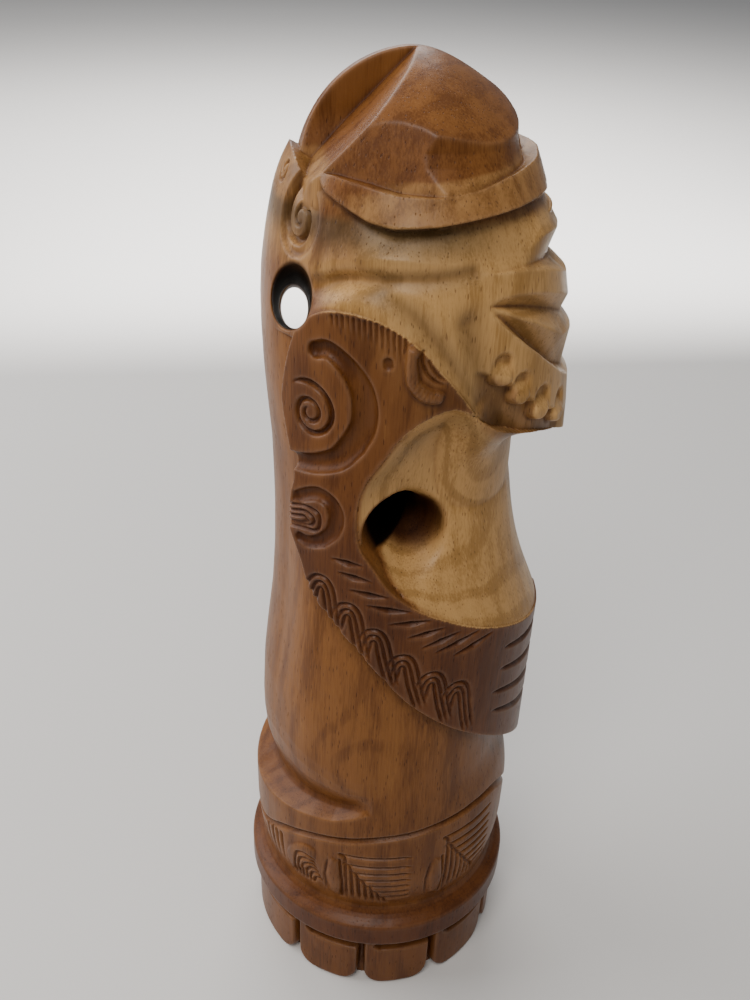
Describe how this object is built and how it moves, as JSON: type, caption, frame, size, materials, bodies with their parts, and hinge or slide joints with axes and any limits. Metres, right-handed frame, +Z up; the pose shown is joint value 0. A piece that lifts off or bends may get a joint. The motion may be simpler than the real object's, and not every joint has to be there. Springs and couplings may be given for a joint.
{
  "type": "tiki figure",
  "caption": "Free-standing tiki figure carved from a round hardwood log, with a toed foot, wrapped arms, a pierced chest and neck, an open mouth and a crested domed head.",
  "frame": {"origin": "centre of the underside of the foot, on the log's axis", "axes": "+Z up along the log, -Y out of the figure's face, -X towards the figure's right hand"},
  "size_m": [0.12, 0.12, 0.39],
  "materials": {
    "wood": "oiled hardwood, satin"
  },
  "bodies": {
    "root": {"foot_ring": "wood", "collar_band": "wood", "belly": "wood", "right_arm": "wood", "left_arm": "wood", "torso": "wood", "back_slab": "wood", "head": "wood", "jaw": "wood", "tongue": "wood", "visor": "wood", "crest": "wood", "right_dome": "wood", "left_dome": "wood"}
  },
  "joints": []
}
